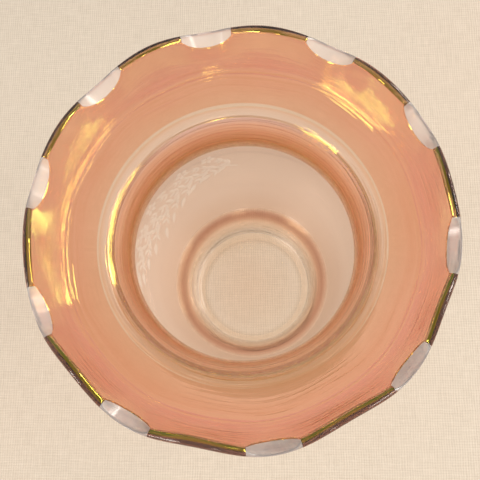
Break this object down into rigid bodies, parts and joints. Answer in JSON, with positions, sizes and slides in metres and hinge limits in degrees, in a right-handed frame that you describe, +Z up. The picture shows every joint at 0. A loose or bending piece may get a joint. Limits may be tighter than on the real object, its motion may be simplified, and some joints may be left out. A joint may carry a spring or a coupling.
{
  "type": "flared glass vase",
  "caption": "Short wide-throated glass vase with a ruffled, ground-edge flare in amber lustre, a frosted round body and a clear foot.",
  "frame": {"origin": "centre of the flat base, on the plane that the vase stands on", "axes": "+Z up the axis of the vase, from the base to the ruffled rim; +Y towards the far side of the rim as it is usually looked into"},
  "size_m": [0.1367, 0.137, 0.1311],
  "materials": {
    "lustre_glass": "clear glass under a glossy amber-orange metallic lustre",
    "frosted_glass": "acid-frosted, satin, with a whiter engraved floral spray",
    "amber_glass": "glossy amber lustre",
    "clear_glass": "clear, polished, faintly green in thickness"
  },
  "bodies": {
    "root": {"rim_flare": "lustre_glass", "throat_ring": "lustre_glass", "frosted_body": "frosted_glass", "heel_ring": "amber_glass", "foot_ring": "clear_glass", "base_disc": "clear_glass"}
  },
  "joints": []
}
